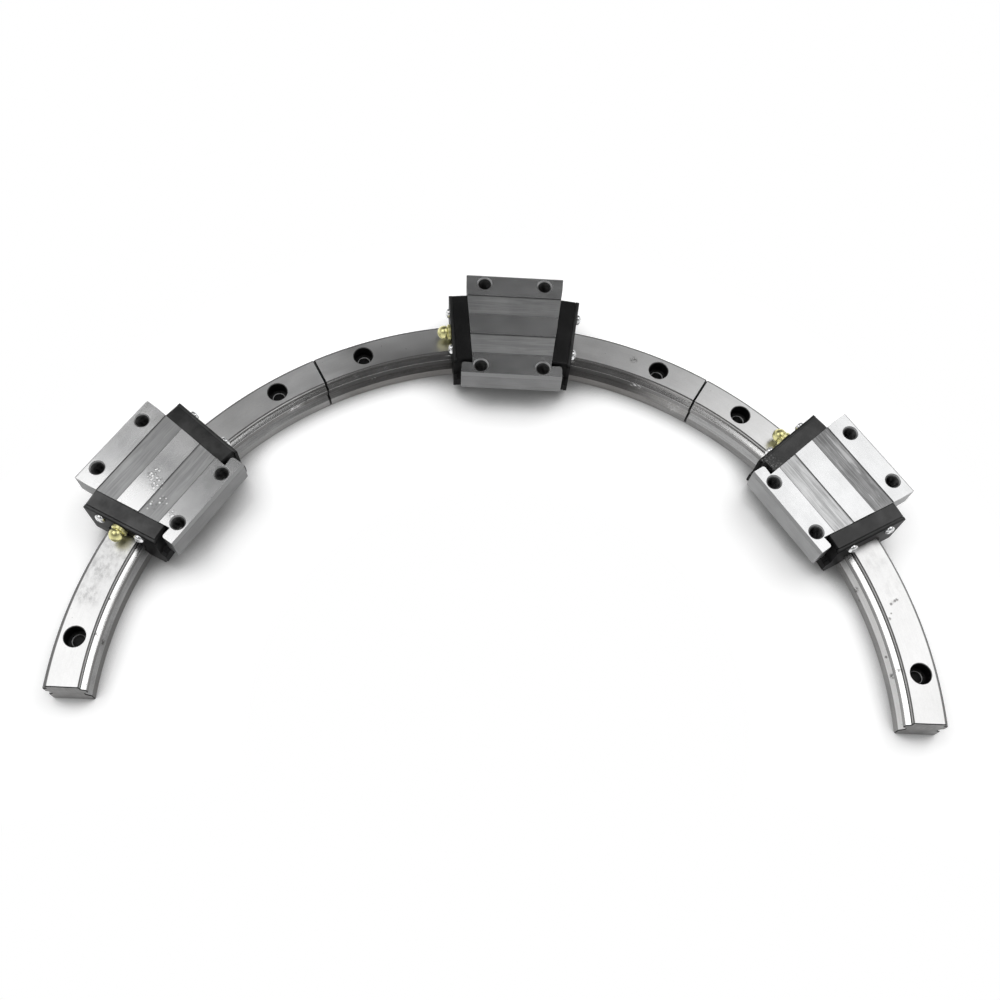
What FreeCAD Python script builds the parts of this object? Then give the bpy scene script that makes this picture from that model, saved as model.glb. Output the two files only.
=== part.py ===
import FreeCAD, Part
import math
import os

from FreeCAD import Vector

# Rail: half a circle made of three equal sections, in millimetres and degrees
RAIL_RADIUS = 150.0
SECTION_ANGLE = 60.0
RAIL_WIDTH = 15.0
RAIL_HEIGHT = 15.0
TOP_WALL = 1.65
RACEWAY_RADIUS = 1.65
RACEWAY_FLAT_COUNT = 2
SHOULDER = 2.6
FLARE = 2.45
RAIL_END_CHAMFER = 0.35

# Fixing holes of one rail section
HOLE_PITCH_ANGLE = 23.0
RAIL_HOLE_COUNT = 3
BOLT_HOLE_RADIUS = 2.25
COUNTERBORE_RADIUS = 3.75
COUNTERBORE_DEPTH = 5.3

# Carriage block
CARRIAGE_ANGLES = {"left": -58.0, "middle": 0.0, "right": 54.0}
CARRIAGE_HEIGHT = 24.0
BLOCK_LENGTH = 38.4
BLOCK_WIDTH = 47.0
TAPER_START = 17.2
FLANGE_THICKNESS = 9.5
FLANGE_CHAMFER = 1.0
BODY_WIDTH = 30.4
BODY_CHAMFER = 0.6
UNDERSIDE_HEIGHT = 4.6
CENTRE_LAND_WIDTH = 9.2
TOP_GROOVE_WIDTH = 8.8
TOP_GROOVE_DEPTH = 0.35
FLANGE_CORNER_RADIUS = 0.8
NOTCH_GAP = 2.9
RUNNING_CLEARANCE = 0.35

# Threaded holes of the block, plain at the thread's nominal size
HOLE_END_DISTANCE = 7.2
HOLE_EDGE_DISTANCE = 4.5
THREAD_RADIUS = 2.5

# End plates and end seals
PLATE_DROP = 0.9
PLATE_CORNER = 0.8
PLATE_CLEARANCE = 0.5
PLATE_THICKNESS = 6.0
SEAL_THICKNESS = 1.4
SEAL_DROP = 0.3
SEAL_LIP = 0.3
SEAL_BEVEL = 0.5
EAR_REACH = 2.2
EAR_THICKNESS = 3.6
EAR_HEIGHT = 6.0
EAR_GAP = 0.5
EAR_SLOPE = 1.6

# Grease nipple
SHANK_RADIUS = 2.0
SHANK_LENGTH = 5.0
NIPPLE_FLANGE_RADIUS = 3.2
NIPPLE_FLANGE_HEIGHT = 1.6
NIPPLE_HEAD_RADIUS = 2.7
NIPPLE_PROTRUSION = 5.5

# Values that follow from the sizes above
UP = Vector(0, 0, 1)
ALONG = Vector(1, 0, 0)
MARGIN = 1.0
ARC_CENTRE = Vector(0, -RAIL_RADIUS, 0)
RAIL_HALF = RAIL_WIDTH / 2
RAIL_TOP_HALF = RAIL_HALF - RACEWAY_RADIUS
UPPER_RACEWAY = RAIL_HEIGHT - TOP_WALL
LOWER_RACEWAY = UPPER_RACEWAY - 2 * RACEWAY_RADIUS - SHOULDER
BLOCK_HALF = BLOCK_WIDTH / 2
BODY_HALF = BODY_WIDTH / 2
END_ANGLE = math.degrees(math.atan(BLOCK_LENGTH / 2 / (RAIL_RADIUS + TAPER_START)))
FLANGE_BOTTOM = CARRIAGE_HEIGHT - FLANGE_THICKNESS
INNER_NOTCH = BODY_HALF + NOTCH_GAP
NIPPLE_HEIGHT = (RAIL_HEIGHT + CARRIAGE_HEIGHT) / 2
EAR_TIP = BODY_HALF + EAR_REACH
# The ear reaches a little way under the square end of the inner flange
EAR_TOP = FLANGE_BOTTOM - EAR_GAP
EAR_START = PLATE_THICKNESS - EAR_THICKNESS
SEAL_FRONT = PLATE_THICKNESS + SEAL_THICKNESS

os.makedirs("parts", exist_ok=True)


def save(shape, node):
    shape.exportStep("parts/" + node + ".step")


def turned(shape, angle):
    # Carries a shape along the rail: positive angles run clockwise seen from above
    copy = shape.copy()
    copy.rotate(ARC_CENTRE, UP, -angle)
    return copy


def polygon(points):
    return Part.makePolygon(points + [points[0]])


def both_flanks(half):
    # Closed outline on the section plane from (offset, height) pairs of one flank, top to bottom
    right = [Vector(0, u, z) for u, z in half]
    left = [Vector(0, -u, z) for u, z in reversed(half)]
    return polygon(right + left)


def raceway(height, start, end, flats):
    # Points of a quarter-round groove about a centre on the rail's flank
    points = []
    for step in range(flats + 1):
        a = math.radians(start + (end - start) * step / flats)
        u = RAIL_HALF + RACEWAY_RADIUS * math.cos(a)
        points.append((u, height + RACEWAY_RADIUS * math.sin(a)))
    return points


def rail_outline(flats):
    half = [(RAIL_TOP_HALF, RAIL_HEIGHT)]
    half += raceway(UPPER_RACEWAY, 180, 270, flats)
    half += raceway(LOWER_RACEWAY, 90, 180, flats)
    half.append((RAIL_HALF, LOWER_RACEWAY - FLARE))
    half.append((RAIL_HALF, 0))
    return both_flanks(half)


def swept(wire, angle):
    # The section carried round the arc, centred on the top of the arc
    face = Part.Face(wire)
    face.rotate(ARC_CENTRE, UP, angle / 2)
    return face.revolve(ARC_CENTRE, UP, -angle)


def rail_section():
    body = swept(rail_outline(RACEWAY_FLAT_COUNT), SECTION_ANGLE)
    ends = []
    for edge in body.Edges:
        level = abs(edge.BoundBox.ZMin - RAIL_HEIGHT) < 1e-6
        if level and edge.Curve.TypeId == "Part::GeomLine":
            ends.append(edge)
    body = body.makeChamfer(RAIL_END_CHAMFER, ends)
    for index in range(RAIL_HOLE_COUNT):
        start = Vector(0, 0, -MARGIN)
        hole = Part.makeCylinder(BOLT_HOLE_RADIUS, RAIL_HEIGHT + 2 * MARGIN, start, UP)
        seat = Vector(0, 0, RAIL_HEIGHT - COUNTERBORE_DEPTH)
        mouth = Part.makeCylinder(COUNTERBORE_RADIUS, COUNTERBORE_DEPTH + MARGIN, seat, UP)
        place = (index - (RAIL_HOLE_COUNT - 1) / 2) * HOLE_PITCH_ANGLE
        body = body.cut(turned(hole.fuse(mouth), place))
    return body


def plain_channel(clearance):
    # Straight-sided room for the whole rail, in the pieces that only pass over it
    half = RAIL_HALF + clearance
    wire = both_flanks([(half, RAIL_HEIGHT + clearance), (half, -clearance)])
    return swept(wire, 4 * END_ANGLE)


def fitted_channel(clearance):
    # Room that follows the rail's outline, in the seals; one flat bridges each raceway
    wire = rail_outline(1).makeOffset2D(clearance, 2)
    return swept(wire, 4 * END_ANGLE)


def block_bar():
    # Flange and body as a straight bar, with shallow grooves between the ground lands on top
    land = CENTRE_LAND_WIDTH / 2
    groove_end = land + TOP_GROOVE_WIDTH
    floor = CARRIAGE_HEIGHT - TOP_GROOVE_DEPTH
    half = [
        (land, CARRIAGE_HEIGHT),
        (land, floor),
        (groove_end, floor),
        (groove_end, CARRIAGE_HEIGHT),
        (BLOCK_HALF - FLANGE_CHAMFER, CARRIAGE_HEIGHT),
        (BLOCK_HALF, CARRIAGE_HEIGHT - FLANGE_CHAMFER),
        (BLOCK_HALF, FLANGE_BOTTOM),
        (BODY_HALF, FLANGE_BOTTOM),
        (BODY_HALF, UNDERSIDE_HEIGHT + BODY_CHAMFER),
        (BODY_HALF - BODY_CHAMFER, UNDERSIDE_HEIGHT),
    ]
    bar = Part.Face(both_flanks(half)).extrude(ALONG * BLOCK_LENGTH)
    bar.translate(ALONG * (-BLOCK_LENGTH / 2))
    return bar


def block_plan():
    # Both ends are cut square to the curved rail; the inner flange alone keeps its full length
    slope = math.tan(math.radians(END_ANGLE))
    near = (RAIL_RADIUS - BLOCK_WIDTH) * slope
    far = (RAIL_RADIUS + BLOCK_WIDTH) * slope
    corners = [
        Vector(-near, -BLOCK_WIDTH),
        Vector(near, -BLOCK_WIDTH),
        Vector(far, BLOCK_WIDTH),
        Vector(-far, BLOCK_WIDTH),
    ]
    wedge = Part.Face(polygon(corners)).extrude(UP * (CARRIAGE_HEIGHT + MARGIN))
    width = BLOCK_HALF - INNER_NOTCH + MARGIN
    height = FLANGE_THICKNESS + MARGIN
    start = Vector(-BLOCK_LENGTH / 2, -BLOCK_HALF - MARGIN, FLANGE_BOTTOM)
    strip = Part.makeBox(BLOCK_LENGTH, width, height, start)
    rounded = []
    for edge in strip.Edges:
        box = edge.BoundBox
        if box.ZLength > MARGIN and abs(box.YMin + INNER_NOTCH) < 1e-6:
            rounded.append(edge)
    return wedge.fuse(strip.makeFillet(FLANGE_CORNER_RADIUS, rounded))


def threaded_hole(x, y):
    start = Vector(x, y, FLANGE_BOTTOM - MARGIN)
    return Part.makeCylinder(THREAD_RADIUS, FLANGE_THICKNESS + 2 * MARGIN, start, UP)


def carriage_block():
    block = block_bar().common(block_plan()).cut(plain_channel(RUNNING_CLEARANCE))
    along = BLOCK_LENGTH / 2 - HOLE_END_DISTANCE
    across = BLOCK_HALF - HOLE_EDGE_DISTANCE
    for x in (-along, along):
        for y in (-across, across):
            block = block.cut(threaded_hole(x, y))
    return block.removeSplitter()


def slab(points, start, end):
    # A flat piece of the end, between two depths counted from the block's end face
    wire = polygon([Vector(start, y, z) for y, z in points])
    return Part.Face(wire).extrude(ALONG * (end - start))


def end_outline(half, top):
    return [
        (half - PLATE_CORNER, top),
        (half, top - PLATE_CORNER),
        (half, UNDERSIDE_HEIGHT),
        (-half, UNDERSIDE_HEIGHT),
        (-half, top - PLATE_CORNER),
        (PLATE_CORNER - half, top),
    ]


def ear(start, end):
    # The ear on the side of the arc's centre, below the flange's end
    low = EAR_TOP - EAR_HEIGHT
    points = [
        (MARGIN - BODY_HALF, low - EAR_SLOPE),
        (-BODY_HALF, low - EAR_SLOPE),
        (-EAR_TIP, low),
        (-EAR_TIP, EAR_TOP - EAR_SLOPE),
        (-BODY_HALF, EAR_TOP),
        (MARGIN - BODY_HALF, EAR_TOP),
    ]
    return slab(points, start, end)


def shank_hole(start, end):
    return Part.makeCylinder(SHANK_RADIUS, end - start, Vector(start, 0, NIPPLE_HEIGHT), ALONG)


def end_plate(with_nipple):
    plate = slab(end_outline(BODY_HALF, CARRIAGE_HEIGHT - PLATE_DROP), 0, PLATE_THICKNESS)
    plate = plate.fuse(ear(EAR_START, PLATE_THICKNESS))
    plate = plate.cut(turned(plain_channel(PLATE_CLEARANCE), -END_ANGLE))
    if with_nipple:
        plate = plate.cut(shank_hole(SEAL_FRONT - SHANK_LENGTH, PLATE_THICKNESS + MARGIN))
    return plate.removeSplitter()


def end_seal(with_nipple):
    top = CARRIAGE_HEIGHT - PLATE_DROP - SEAL_DROP
    half = BODY_HALF + SEAL_LIP
    seal = slab(end_outline(half, top), PLATE_THICKNESS, SEAL_FRONT)
    seal = seal.fuse(ear(PLATE_THICKNESS, SEAL_FRONT))
    side = -half - MARGIN
    bevel = [
        Vector(SEAL_FRONT + MARGIN, side, top - SEAL_BEVEL - MARGIN),
        Vector(SEAL_FRONT + MARGIN, side, top + MARGIN),
        Vector(SEAL_FRONT - SEAL_BEVEL - MARGIN, side, top + MARGIN),
    ]
    seal = seal.cut(Part.Face(polygon(bevel)).extrude(Vector(0, -2 * side, 0)))
    seal = seal.cut(turned(fitted_channel(RUNNING_CLEARANCE), -END_ANGLE))
    if with_nipple:
        seal = seal.cut(shank_hole(PLATE_THICKNESS - MARGIN, SEAL_FRONT + MARGIN))
    return seal.removeSplitter()


def grease_nipple():
    # Turned about the line through the seal, from (depth, radius) pairs
    flange = SEAL_FRONT + NIPPLE_FLANGE_HEIGHT
    tip = SEAL_FRONT + NIPPLE_PROTRUSION
    profile = [
        (SEAL_FRONT - SHANK_LENGTH, 0),
        (SEAL_FRONT - SHANK_LENGTH, SHANK_RADIUS),
        (SEAL_FRONT, SHANK_RADIUS),
        (SEAL_FRONT, NIPPLE_FLANGE_RADIUS),
        (flange, NIPPLE_FLANGE_RADIUS),
        (flange, NIPPLE_HEAD_RADIUS),
        (tip, NIPPLE_HEAD_RADIUS),
        (tip, 0),
    ]
    wire = polygon([Vector(x, r, NIPPLE_HEIGHT) for x, r in profile])
    return Part.Face(wire).revolve(Vector(0, 0, NIPPLE_HEIGHT), ALONG, 360)


def at_end(shape, end):
    # Seats a piece on the block's clockwise (+1) or counter-clockwise (-1) end face
    seated = turned(shape, END_ANGLE)
    return seated if end > 0 else seated.mirror(Vector(0, 0, 0), ALONG)


# Rail sections, side by side round the arc
section = rail_section()
for index, name in enumerate(("left", "middle", "right")):
    save(turned(section, (index - 1) * SECTION_ANGLE), "rail_" + name)

# One carriage, then its copies along the rail; end 1 carries the nipple
pieces = {"block": carriage_block(), "grease_nipple": at_end(grease_nipple(), -1)}
for number, end in ((1, -1), (2, 1)):
    pieces["end_plate_%d" % number] = at_end(end_plate(end < 0), end)
    pieces["end_seal_%d" % number] = at_end(end_seal(end < 0), end)
for name, angle in CARRIAGE_ANGLES.items():
    for piece, shape in pieces.items():
        save(turned(shape, angle), name + "_" + piece)
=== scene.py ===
# %% [markdown]
# # A curved rail guide with three carriages
# The object is a half circle of profiled steel rail, made of three butted sections, with three flanged
# ball carriages on it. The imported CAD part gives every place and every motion, so this lesson only
# dresses it: finer meshes stand for the plain solids, and each finish is drawn with shader nodes.

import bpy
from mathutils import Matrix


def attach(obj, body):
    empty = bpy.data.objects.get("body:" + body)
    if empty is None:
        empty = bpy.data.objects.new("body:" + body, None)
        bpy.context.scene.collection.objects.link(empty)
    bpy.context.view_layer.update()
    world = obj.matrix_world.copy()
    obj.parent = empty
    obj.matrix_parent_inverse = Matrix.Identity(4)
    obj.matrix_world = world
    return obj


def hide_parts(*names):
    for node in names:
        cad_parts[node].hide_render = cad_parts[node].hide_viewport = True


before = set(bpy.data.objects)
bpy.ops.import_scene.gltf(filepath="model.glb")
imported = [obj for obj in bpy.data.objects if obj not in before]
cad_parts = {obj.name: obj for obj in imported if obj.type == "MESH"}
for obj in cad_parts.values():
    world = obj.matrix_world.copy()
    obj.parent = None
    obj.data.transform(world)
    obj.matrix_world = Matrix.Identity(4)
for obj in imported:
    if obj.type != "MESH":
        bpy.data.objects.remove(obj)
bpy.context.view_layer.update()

# %% [markdown]
# ## Places along the arc
# Every carriage is the same thing at another angle, and the rail is one section repeated. So each mesh is
# modelled once at the top of the arc, where X runs along the rail, Y points outwards and Z up, and one
# matrix carries it round the arc's centre. Sizes are typed in millimetres and turned into metres by MM.

# %% One matrix for every place on the rail
from math import atan, atan2, copysign, cos, degrees, pi, radians, sin, tan
from types import SimpleNamespace

import bmesh
import bpy
from mathutils import Matrix, Vector

MM = 0.001
RAIL_RADIUS = 150.0
CARRIAGES = {"left": -58.0, "middle": 0.0, "right": 54.0}
ARC_CENTRE = Vector((0, -RAIL_RADIUS * MM, 0))


def along_arc(angle):
    """The matrix that carries a thing from the top of the arc clockwise by an angle in degrees."""
    turn = Matrix.Rotation(-radians(angle), 4, "Z")
    return Matrix.Translation(ARC_CENTRE) @ turn @ Matrix.Translation(-ARC_CENTRE)


for carriage, angle in CARRIAGES.items():
    print(carriage, [round(c / MM, 1) for c in along_arc(angle).translation])

# %% [markdown]
# ## Four ways to make a solid
# Machined steel is made by a few plain operations, and the meshes copy them. A prism is an outline drawn
# out straight, as a milled bar is. A sweep carries an outline round the arc, as the rail is ground. A
# turned solid spins a profile about Z, as a lathe does. Holes and ends are cut out with the Boolean
# modifier, which keeps the mesh closed. Each function here returns a new object.

# %% Prism, sweep and turned solid


def add_object(name, data):
    """A new object in the scene, for a mesh, a lamp or a camera."""
    made = bpy.data.objects.new(name, data)
    bpy.context.scene.collection.objects.link(made)
    return made


def new_piece(name, bm):
    """Turns a bmesh into an object with outward normals."""
    bmesh.ops.recalc_face_normals(bm, faces=bm.faces)
    mesh = bpy.data.meshes.new(name)
    bm.to_mesh(mesh)
    bm.free()
    return add_object(name, mesh)


def join_rings(bm, rings):
    """Joins closed rings of vertices with quads."""
    count = len(rings[0])
    for near, far in zip(rings, rings[1:]):
        for i in range(count):
            j = (i + 1) % count
            bm.faces.new((near[i], near[j], far[j], far[i]))


def skin(bm, rings):
    """Joins the rings and closes both ends."""
    join_rings(bm, rings)
    bm.faces.new(rings[0])
    bm.faces.new(rings[-1])


def prism(name, outline, low, high, axes):
    """An outline drawn out straight; axes such as "yzx" name the outline's two axes, then the third."""
    bm = bmesh.new()
    rings = []
    for depth in (low, high):
        places = [dict(zip(axes, (a, b, depth))) for a, b in outline]
        rings.append([bm.verts.new([place[axis] * MM for axis in "xyz"]) for place in places])
    skin(bm, rings)
    return new_piece(name, bm)


def sweep(name, outlines):
    """Outlines of (offset, height) pairs set square to the arc at given angles, then skinned."""
    bm = bmesh.new()
    rings = []
    for angle, outline in outlines:
        across = Vector((sin(radians(angle)), cos(radians(angle)), 0))
        ring = []
        for u, z in outline:
            place = ARC_CENTRE + across * (RAIL_RADIUS + u) * MM
            ring.append(bm.verts.new((place.x, place.y, z * MM)))
        rings.append(ring)
    skin(bm, rings)
    return new_piece(name, bm)


def turned(name, profile, steps):
    """A profile of (radius, height) pairs spun about Z; it starts and ends on the axis."""
    bm = bmesh.new()
    verts = [bm.verts.new((r * MM, 0, h * MM)) for r, h in profile]
    edges = [bm.edges.new(pair) for pair in zip(verts, verts[1:])]
    bmesh.ops.spin(bm, geom=verts + edges, cent=(0, 0, 0), axis=(0, 0, 1),
                   angle=2 * pi, steps=steps, use_merge=True)
    bmesh.ops.remove_doubles(bm, verts=bm.verts, dist=1e-7)
    return new_piece(name, bm)


print("solids come from prism, sweep and turned")

# %% Cuts and outlines


def settle(piece):
    """Makes what the modifiers show into the piece's own mesh."""
    bpy.context.view_layer.update()
    graph = bpy.context.evaluated_depsgraph_get()
    mesh = bpy.data.meshes.new_from_object(piece.evaluated_get(graph))
    piece.modifiers.clear()
    piece.data = mesh


def cut(piece, cutters, operation="DIFFERENCE"):
    """Cuts every cutter out of the piece, or keeps what they share, and throws the cutters away."""
    for cutter in cutters:
        boolean = piece.modifiers.new("cut", "BOOLEAN")
        boolean.operation = operation
        boolean.solver = "EXACT"
        boolean.object = cutter
    settle(piece)
    for cutter in cutters:
        bpy.data.objects.remove(cutter)


def mirrored(half):
    """A closed outline from the half with positive first coordinates."""
    return half + [(-a, b) for a, b in reversed(half)]


def rounded(corners, steps=6):
    """An outline whose corners (x, y, radius) are rounded off; radius 0 keeps a corner sharp."""
    points = []
    count = len(corners)
    for i in range(count):
        before, here, after = (Vector(corners[(i + k) % count][:2]) for k in (-1, 0, 1))
        radius = corners[i][2]
        if radius == 0:
            points.append(tuple(here))
            continue
        back = (before - here).normalized()
        ahead = (after - here).normalized()
        half = back.angle(ahead) / 2
        start = here + back * radius / tan(half)
        end = here + ahead * radius / tan(half)
        middle = here + (back + ahead).normalized() * radius / sin(half)
        for k in range(steps + 1):
            spoke = (start - middle).slerp(end - middle, k / steps)
            points.append(tuple(middle + spoke))
    return points


print("they are shaped by cut, from outlines that are mirrored or rounded")

# %% [markdown]
# ## Broken edges
# No machined edge is a true corner: a thin chamfer catches a line of light. A Bevel modifier adds it, and
# Weighted Normal keeps the large faces flat in the shading. Bevelling by angle leaves the fine steps of
# round walls alone.

# %% Bevel and shading helpers


def break_edges(piece, width, angle=38):
    """A fine round on every sharp edge, with flat faces kept flat."""
    weld = piece.modifiers.new("weld", "WELD")
    weld.merge_threshold = 1e-6
    bevel = piece.modifiers.new("bevel", "BEVEL")
    bevel.width = width * MM
    bevel.segments = 2
    bevel.limit_method = "ANGLE"
    bevel.angle_limit = radians(angle)
    bevel.miter_outer = "MITER_ARC"
    even = piece.modifiers.new("even", "WEIGHTED_NORMAL")
    even.keep_sharp = True


def shade(piece, angle):
    """Smooth shading that stops at edges sharper than the angle."""
    piece.data.shade_smooth()
    piece.data.set_sharp_from_angle(angle=radians(angle))


print("edges are broken with Bevel and shaded by Weighted Normal")

# %% [markdown]
# ## Shader maths as Python
# Node trees are easier to read as formulas. One small class holds a shader socket, and its operators add
# the Math node that does the sum, so that 1 - mask works like any other number. Every other node comes
# from its node method, which takes the node's type, its settings and what goes into its sockets.

# %% A socket that can be reckoned with


class Ink:
    """A shader socket in Python arithmetic."""

    def __init__(self, tree, socket=None):
        self.tree = tree
        self.socket = socket

    def node(self, kind, settings=None, sockets=None, out=0):
        made = self.tree.nodes.new("ShaderNode" + kind)
        for name, value in (settings or {}).items():
            setattr(made, name, value)
        for name, value in (sockets or {}).items():
            if isinstance(value, Ink):
                self.tree.links.new(value.socket, made.inputs[name])
            else:
                made.inputs[name].default_value = value
        return Ink(self.tree, made.outputs[out])

    def math(self, operation, *values):
        return self.node("Math", {"operation": operation}, dict(enumerate(values)))

    def __add__(self, other):
        return self.math("ADD", self, other)

    def __sub__(self, other):
        return self.math("SUBTRACT", self, other)

    def __rsub__(self, other):
        return self.math("SUBTRACT", other, self)

    def __mul__(self, other):
        return self.math("MULTIPLY", self, other)

    def __truediv__(self, other):
        return self.math("DIVIDE", self, other)

    def __pow__(self, other):
        return self.math("POWER", self, other)

    def __abs__(self):
        return self.math("ABSOLUTE", self)

    __radd__ = __add__
    __rmul__ = __mul__

    def step(self, low, high):
        """0 below low, 1 above high, and a smooth slope between them."""
        limits = {"Value": self, "From Min": low, "From Max": high}
        return self.node("MapRange", {"interpolation_type": "SMOOTHSTEP"}, limits)

    def span(self, rise, fall):
        """1 along a stretch: it rises over the first range and falls over the second."""
        return self.step(*rise) * (1 - self.step(*fall))

    def larger(self, other):
        return self.math("MAXIMUM", self, other)

    def tint(self, dark, light):
        """A colour between two others, by this value's share of the second; a number stands for a grey."""
        dark, light = (grey(c) if isinstance(c, float) else c for c in (dark, light))
        return self.node("Mix", {"data_type": "RGBA"}, {0: self, 6: dark, 7: light}, out=2)

    def parts(self):
        """The three numbers of a vector."""
        return [self.node("SeparateXYZ", None, {0: self}, out=axis) for axis in "XYZ"]

    def cloud(self, scale, stretch=(1, 1, 1), detail=4.0, rough=0.55):
        """Noise over a vector in millimetres; scale is in patches per millimetre."""
        size = [scale * s for s in stretch]
        vector = self.node("VectorMath", {"operation": "MULTIPLY"}, {0: self, 1: size})
        sockets = {"Vector": vector, "Scale": 1.0, "Detail": detail, "Roughness": rough}
        return self.node("TexNoise", None, sockets)

    def spots(self, places, core=0.3):
        """A mask with a soft spot at each (x, y, z, radius), over this vector in millimetres."""
        mask = None
        for x, y, z, radius in places:
            ends = {0: self, 1: (x, y, z)}
            away = self.node("VectorMath", {"operation": "DISTANCE"}, ends, out="Value")
            spot = 1 - away.step(core * radius, radius)
            mask = spot if mask is None else mask.larger(spot)
        return mask


print("shader formulas are written with the class", Ink.__name__)

# %% Greys and finishes


def grey(level, warm=0.0):
    """A grey, a little warmer or colder, as an RGBA colour."""
    return (level * (1 + warm), level, level * (1 - warm), 1)


def new_finish(name, metallic=1.0, **constants):
    """A finish, which is a material and its Principled shader; constants go onto the shader's sockets."""
    material = bpy.data.materials.new(name)
    material.use_nodes = True
    shader = material.node_tree.nodes["Principled BSDF"]
    shader.inputs["Metallic"].default_value = metallic
    for socket, value in constants.items():
        shader.inputs[socket.replace("_", " ")].default_value = value
    return (material, shader), Ink(material.node_tree)


def millimetres(ink):
    """Object coordinates in millimetres."""
    metres = ink.node("TexCoord", out="Object")
    return ink.node("VectorMath", {"operation": "SCALE"}, {0: metres, "Scale": 1 / MM})


def wear(finish, base, rough, height, depth, coat=None):
    """Links what changes over the surface: colour, roughness, a bump (depth in millimetres) and a coat."""
    material, shader = finish
    links = material.node_tree.links
    links.new(base.socket, shader.inputs["Base Color"])
    links.new(rough.socket, shader.inputs["Roughness"])
    bump = height.node("Bump", None, {"Strength": 1.0, "Distance": depth * MM, "Height": height})
    links.new(bump.socket, shader.inputs["Normal"])
    if coat is not None:
        links.new(coat.socket, shader.inputs["Coat Weight"])
    print("finish", material.name, "has", len(material.node_tree.nodes), "nodes")
    return material


print("a finish starts with new_finish and ends with wear")

# %% [markdown]
# ## Rail steel: places
# The rail is hardened steel, ground lengthwise, so its grain follows the curve. A picture could be wrapped
# round it, but a formula needs no unwrapping and stays sharp close up. The formula works in the rail's own
# terms: length along the arc, offset from the middle line and height, all in millimetres. Masks, which are
# 1 on one face or stretch and 0 elsewhere, then say where each tone goes.

# %% Rail coordinates and masks


def arc_frame(ink):
    """Length along the arc, offset across it and height, in millimetres, and the vector of the three."""
    x, y, z = ink.node("TexCoord", out="Object").parts()
    out = y + RAIL_RADIUS * MM
    along = out.math("ARCTAN2", x, out) * RAIL_RADIUS
    offset = (x * x + out * out) ** 0.5 / MM - RAIL_RADIUS
    height = z / MM
    place = ink.node("CombineXYZ", None, {"X": along, "Y": offset, "Z": height})
    return along, offset, height, place


def facing_up(ink):
    """How far a surface faces up: 1 for a level top."""
    return ink.node("NewGeometry", out="Normal").parts()[2]


def rail_places(ink):
    """The rail's coordinates, with masks for stretches of its length and for its faces."""
    along, offset, height, place = arc_frame(ink)
    up = facing_up(ink)
    at = SimpleNamespace(offset=offset, place=place)
    # Stretches, by length from the middle of the arc.
    at.middle = 1 - abs(along).step(58, 112)
    at.left_run = along.span((-136, -120), (-78, -66))
    at.left_joint = along.span((-112, -82), (-78, -62))
    at.left_dip = along.span((-66, -52), (-26, -20))
    at.middle_run = along.span((-90, -80), (60, 74))
    at.toward_right = along.step(46, 76)
    at.right_run = at.toward_right * (1 - along.step(110, 130))
    at.right_part = along.step(78, 80)
    at.right_far = along.step(88, 108)
    at.right_end = along.step(150, 176)
    # Faces, by height, from the foot up to the top at 15.
    above_flank = height.step(11.5, 11.62)
    top_edge = height.step(14.5, 14.6)
    upper = (height.step(13.4, 14.4) * (1 - at.middle)).larger(top_edge)
    at.foot = 1 - height.step(4.4, 4.55)
    at.flank = 1 - above_flank
    at.shoulder = height.step(8.9, 9.0) * at.flank
    at.ledge = above_flank * (1 - upper)
    at.outer_ledge = offset.step(5.9, 6.1) * at.ledge
    at.ledge_wall = height.step(12.0, 12.2) * (1 - up.step(0.2, 0.6))
    at.corner = top_edge * (1 - up.step(0.9, 0.96))
    at.rim = offset.step(5.0, 5.25) * top_edge
    at.top = height.step(14.8, 14.95)
    return at


def rail_patterns(place):
    """Patterns in the steel, from soft clouds to a fine grain that is drawn out along the rail."""
    return SimpleNamespace(
        clouds=place.cloud(0.055, detail=6.0),
        smears=place.cloud(0.16, (0.5, 1.0, 1.0), detail=5.0, rough=0.65),
        mottle=place.cloud(0.55, (0.7, 1.0, 1.0), detail=6.0, rough=0.75),
        ragged=place.cloud(1.3, (0.6, 1.0, 1.0), detail=4.0, rough=0.7),
        specks=place.cloud(1.9, detail=3.0, rough=0.7),
        grain=place.cloud(2.6, (0.03, 1.0, 1.0), detail=3.0),
    )


print("the rail's middle line is", round(pi * RAIL_RADIUS), "mm long")

# %% [markdown]
# ## Rail steel: marks
# The rail has been handled, and carries dark nicks, pale scuffs and oily patches. Noise alone would scatter
# them evenly. So the larger marks are listed by their places, and noise only frays their outlines.

# %% Nicks, scuffs and oil
# Each mark: angle on the arc in degrees, offset, height and radius in millimetres.
DARK_MARKS = [
    (72.7, -2.2, 15, 0.8), (72.5, -1.3, 15, 0.8), (72.4, -0.3, 15, 0.8),
    (72.3, 0.6, 15, 0.8), (74.7, -5.0, 15, 0.9), (74.0, -3.6, 15, 0.5),
    (81.9, 6.6, 13, 1.0), (70.4, 6.5, 13, 0.8), (82.0, -6.6, 12, 1.2),
    (82.1, -6.4, 5.7, 1.6), (79.2, -6.7, 5.4, 0.8), (68.3, -7.4, 4.6, 1.6),
    (69.8, -7.5, 3.6, 1.0), (18.9, 0.5, 15, 2.0), (-33.7, -7.5, 10, 3.0),
    (-81.9, -6.0, 12, 1.0), (-76.6, -5.8, 12.3, 0.8), (-82.2, -6.4, 5.6, 1.6),
]
PALE_MARKS = [
    (20.7, -7.5, 9.5, 3.5), (27.3, -6.1, 6.0, 4.0), (-36.0, -7.5, 10.5, 4.0),
    (-22.3, -5.9, 6.1, 1.2), (-25.3, -6.6, 12.0, 1.4), (-20.1, -6.6, 12.0, 1.4),
]
LEFT_OIL = [(-69, -1.5, 15, 14), (-73, 1, 15, 10), (-77, 1, 15, 7)]
RIGHT_OIL = [(66, 0, 15, 10), (71, 2, 15, 9)]


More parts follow.
